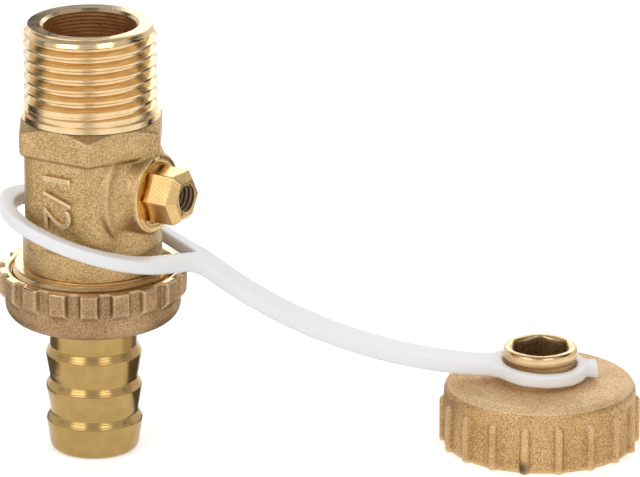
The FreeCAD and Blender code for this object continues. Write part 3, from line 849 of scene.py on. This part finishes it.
@dataclass
class KeyCap:
    """Ribbed cap, forged below and turned at its key boss."""

    finishes: Finishes
    split: float = -45.4 * MM
    voxel: float = 0.15 * MM
    skin_rounds: int = 1
    top_above_mm: float = -50.0
    top_slope: float = 0.6
    boss_voxel: float = 0.16 * MM
    boss_rounds: int = 55
    socket_mm: float = 4.85
    socket_slope: float = 0.5

    def build(self) -> None:
        """Make the forged skirt and the turned boss."""
        skirt = merged_copy("cap", "ribbed_cap")
        cut_level(skirt, self.split, Keep.BELOW)
        cast_skin(skirt, self.voxel, self.skin_rounds)
        dress(skirt, self.finishes.cap, self.finishes.cap_top_with_painted_light)
        # The faces that look up get the paler copy: painted light on the cap's top.
        paint_faces(skirt, 1, lambda c, n: c.z > self.top_above_mm and n.z > self.top_slope)
        settle(skirt, "cap", ("cap",))
        boss = merged_copy("cap", "cap_boss")
        cut_level(boss, self.split, Keep.ABOVE)
        cast_skin(boss, self.boss_voxel, self.boss_rounds)
        dress(boss, self.finishes.cap_turned, self.finishes.hole_with_painted_shade)
        centre = Vector(CAP_CENTRE) / MM
        # The socket's walls get the dark copy: painted shade inside the socket.
        paint_faces(boss, 1, lambda c, n: (
            valve_radius(c - centre) < self.socket_mm and abs(n.z) < self.socket_slope))
        settle(boss, "cap", ("cap",))


@dataclass
class RetainingStrap:
    """White moulded strap between the valve's neck and the cap's boss."""

    finishes: Finishes
    voxel: float = 0.22 * MM
    skin_rounds: int = 12

    def build(self) -> None:
        """Round the strap's moulded edges."""
        piece = merged_copy("retaining_strap", "moulded_strap")
        cast_skin(piece, self.voxel, self.skin_rounds)
        dress(piece, self.finishes.plastic)
        settle(piece, "retaining_strap", ("retaining_strap",))


@dataclass
class InnerParts:
    """Ball, seats and seals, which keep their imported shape."""

    finishes: Finishes

    def dress(self) -> None:
        """Give each inner node its material."""
        plan = {
            "ball": self.finishes.turned, "seat_retainer": self.finishes.turned,
            "upper_seat_ring": self.finishes.ptfe, "lower_seat_ring": self.finishes.ptfe,
            "stem_thrust_washer": self.finishes.ptfe, "stem_o_ring": self.finishes.rubber,
            "tail_gasket": self.finishes.rubber, "cap_gasket": self.finishes.rubber}
        for node, material in plan.items():
            dress(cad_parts[node], material)
        LOG.info("inner parts: %d dressed", len(plan))


@dataclass(frozen=True)
class Softbox:
    """Soft lamp that faces the object, placed by degrees to the camera's right and above level."""

    name: str
    turn: float
    rise: float
    width: float
    height: float
    radiance: float


@dataclass(frozen=True)
class Felt:
    """Dark felt, seen only in the metal's reflections. Without a rise it lies on the floor."""

    name: str
    turn: float
    away: float
    width: float
    height: float
    colour: str = "#15130F"
    rise: float | None = None


@dataclass
class Studio:
    """Pale floor, soft lights, sky and the camera that matches the photo."""

    azimuth: float = 30.559
    elevation: float = 19.193
    distance: float = 1000 * MM
    lens: float = 356.574
    sensor: float = 36.0
    sight: float = 20.0
    target_right: float = 35.892 * MM
    target_up: float = -21.651 * MM
    floor_colour: str = "#F4F4F4"
    floor_glow: float = 0.42
    floor_size: float = 6.0
    felt_gap: float = 0.2 * MM
    lamp_distance: float = 0.75
    softboxes: tuple[Softbox, ...] = (
        Softbox("left softbox", turn=-42, rise=36, width=0.42, height=0.35, radiance=2.5),
        Softbox("right softbox", turn=32, rise=38, width=0.3, height=0.3, radiance=2.4),
        Softbox("back softbox", turn=172, rise=27, width=0.8, height=0.3, radiance=1.5))
    felts: tuple[Felt, ...] = (
        Felt("front felt", turn=-4, away=0.17, width=0.04, height=0.12, colour="#6E6557"),
        Felt("left felt", turn=-112, away=0.19, width=0.14, height=0.14),
        Felt("right felt", turn=112, away=0.225, width=0.14, height=0.14),
        Felt("left tail felt", turn=-125, away=0.05, width=0.05, height=0.05, colour="#7A705E"),
        Felt("right tail felt", turn=125, away=0.042, width=0.03, height=0.05, colour="#6E6454"),
        Felt("left flag", turn=-104, rise=32, away=0.5, width=0.3, height=0.26),
        Felt("right flag", turn=98, rise=32, away=0.5, width=0.3, height=0.26),
        Felt("top felt", turn=0, rise=66, away=0.5, width=0.24, height=0.2))
    rim_card: Felt = Felt("rim card", turn=-168, rise=0, away=0.06, width=0.03, height=0.016)
    rim_height: float = 0.035
    rim_facing: tuple[float, float] = (180, 19)
    sky_heights: tuple[float, float] = (0.15, 0.9)
    sky_glow: tuple[float, float] = (0.95, 0.5)

    def build(self) -> None:
        """Set the floor, the sky, the lights and the camera."""
        self._build_floor()
        self._build_sky()
        for box in self.softboxes:
            self._add_light(box)
        self._build_felts()
        self._build_camera()
        bpy.context.scene.view_settings.view_transform = "Standard"
        LOG.info("studio: floor, lights, felts, camera at %.0f mm", self.distance / MM)

    def _build_floor(self) -> None:
        """Lay a pale floor that shows as white and keeps the shadow."""
        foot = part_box("hose_tail")[0].z
        bpy.ops.object.select_all(action="DESELECT")
        bpy.ops.mesh.primitive_plane_add(size=self.floor_size, location=(0, 0, foot))
        floor = bpy.context.active_object
        floor.name = "floor"
        material, tree, shader = new_material("Pale paper floor")
        ray = add_node(tree, "ShaderNodeLightPath")
        seen = add_node(tree, "ShaderNodeMath", {
            0: ray.outputs["Is Camera Ray"], 1: ray.outputs["Is Glossy Ray"]}, operation="MAXIMUM")
        clear = add_node(tree, "ShaderNodeMath", {
            0: seen.outputs[0], 1: ray.outputs["Is Transmission Ray"]}, operation="MAXIMUM")
        glow = add_node(tree, "ShaderNodeMath", {
            0: clear.outputs[0], 1: self.floor_glow}, operation="MULTIPLY")
        shader.inputs["Base Color"].default_value = linear(self.floor_colour)
        shader.inputs["Roughness"].default_value = 0.9
        shader.inputs["Specular IOR Level"].default_value = 0.0
        shader.inputs["Emission Color"].default_value = (1, 1, 1, 1)
        tree.links.new(glow.outputs[0], shader.inputs["Emission Strength"])
        floor.data.materials.append(material)

    def _build_sky(self) -> None:
        """Fade the surroundings from pale at the horizon to grey overhead."""
        world = bpy.data.worlds.new("studio")
        bpy.context.scene.world = world
        world.use_nodes = True
        tree = world.node_tree
        tree.nodes.clear()
        place = add_node(tree, "ShaderNodeTexCoord").outputs["Generated"]
        split = add_node(tree, "ShaderNodeSeparateXYZ", {0: place})
        level = add_node(tree, "ShaderNodeMapRange", {
            "Value": split.outputs["Z"], "From Min": self.sky_heights[0], "From Max": self.sky_heights[1],
            "To Min": self.sky_glow[0], "To Max": self.sky_glow[1]}, interpolation_type="SMOOTHSTEP")
        glow = add_node(tree, "ShaderNodeBackground", {"Color": (1, 1, 1, 1), "Strength": level.outputs[0]})
        add_node(tree, "ShaderNodeOutputWorld", {"Surface": glow.outputs[0]})

    def _toward(self, turn: float, rise: float) -> Vector:
        """Point from the valve's shoulder into the studio.

        Args:
            turn: Degrees to the camera's right.
            rise: Degrees above level.

        Returns:
            The direction, one unit long.
        """
        around = math.radians(self.azimuth - 90 + turn)
        up = math.radians(rise)
        return Vector((math.cos(up) * math.cos(around), math.cos(up) * math.sin(around), math.sin(up)))

    def _add_light(self, box: Softbox) -> None:
        """Hang one softbox that faces the object.

        Args:
            box: Softbox to hang.
        """
        way = self._toward(box.turn, box.rise)
        light = bpy.data.lights.new(box.name, "AREA")
        light.shape = "RECTANGLE"
        light.size = box.width
        light.size_y = box.height
        light.energy = math.pi * box.width * box.height * box.radiance
        lamp = bpy.data.objects.new(box.name, light)
        lamp.location = way * self.lamp_distance
        lamp.rotation_euler = way.to_track_quat("Z", "Y").to_euler()
        bpy.context.scene.collection.objects.link(lamp)

    def _on_floor(self, turn: float, away: float) -> Vector:
        """Find a place just above the floor.

        Args:
            turn: Degrees to the camera's right.
            away: Distance from the valve's axis in metres.

        Returns:
            The place.
        """
        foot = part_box("hose_tail")[0].z
        return self._toward(turn, 0) * away + Vector((0, 0, foot + self.felt_gap))

    def _build_felts(self) -> None:
        """Lay the felts, hang the flags and hold the card behind the inlet's rim."""
        for felt in self.felts:
            if felt.rise is None:
                self._add_felt(felt, self._on_floor(felt.turn, felt.away), UP)
            else:
                way = self._toward(felt.turn, felt.rise)
                self._add_felt(felt, way * felt.away, way)
        rim = self.rim_card
        place = self._toward(rim.turn, rim.rise) * rim.away + UP * self.rim_height
        self._add_felt(rim, place, self._toward(*self.rim_facing))

    def _add_felt(self, plan: Felt, place: Vector, facing: Vector) -> None:
        """Set up one felt.

        Args:
            plan: Felt to set up.
            place: Middle of the felt.
            facing: Direction that it faces.
        """
        bpy.ops.object.select_all(action="DESELECT")
        bpy.ops.mesh.primitive_plane_add(
            size=1, location=place, rotation=facing.to_track_quat("Z", "Y").to_euler())
        felt = bpy.context.active_object
        felt.name = plan.name
        felt.scale = (plan.width, plan.height, 1)
        material, _, shader = new_material("Wool of the " + plan.name)
        shader.inputs["Base Color"].default_value = linear(plan.colour)
        shader.inputs["Roughness"].default_value = 0.95
        felt.data.materials.append(material)
        felt.visible_camera = False
        felt.visible_diffuse = False
        felt.visible_shadow = False

    def _build_camera(self) -> None:
        """Place the camera where the photo was taken from."""
        turn = math.radians(self.azimuth)
        tilt = math.radians(self.elevation)
        right = Vector((math.cos(turn), math.sin(turn), 0))
        back = Vector((math.sin(turn) * math.cos(tilt), -math.cos(turn) * math.cos(tilt), math.sin(tilt)))
        target = right * self.target_right + Vector((0, 0, self.target_up))
        data = bpy.data.cameras.new("photo camera")
        data.lens = self.lens
        data.sensor_width = self.sensor
        data.clip_end = self.sight
        camera = bpy.data.objects.new("photo camera", data)
        camera.location = target + back * self.distance
        camera.rotation_euler = back.to_track_quat("Z", "Y").to_euler()
        bpy.context.scene.collection.objects.link(camera)
        bpy.context.scene.camera = camera


def main() -> None:
    """Build every piece in order and report it."""
    logging.basicConfig(level=logging.INFO, format="%(message)s")
    finishes = Finishes()
    ValveBody(finishes).build()
    OperatingStem(finishes).build()
    HoseUnion(finishes).build()
    KeyCap(finishes).build()
    RetainingStrap(finishes).build()
    InnerParts(finishes).dress()
    Studio().build()


if __name__ == "__main__":
    main()
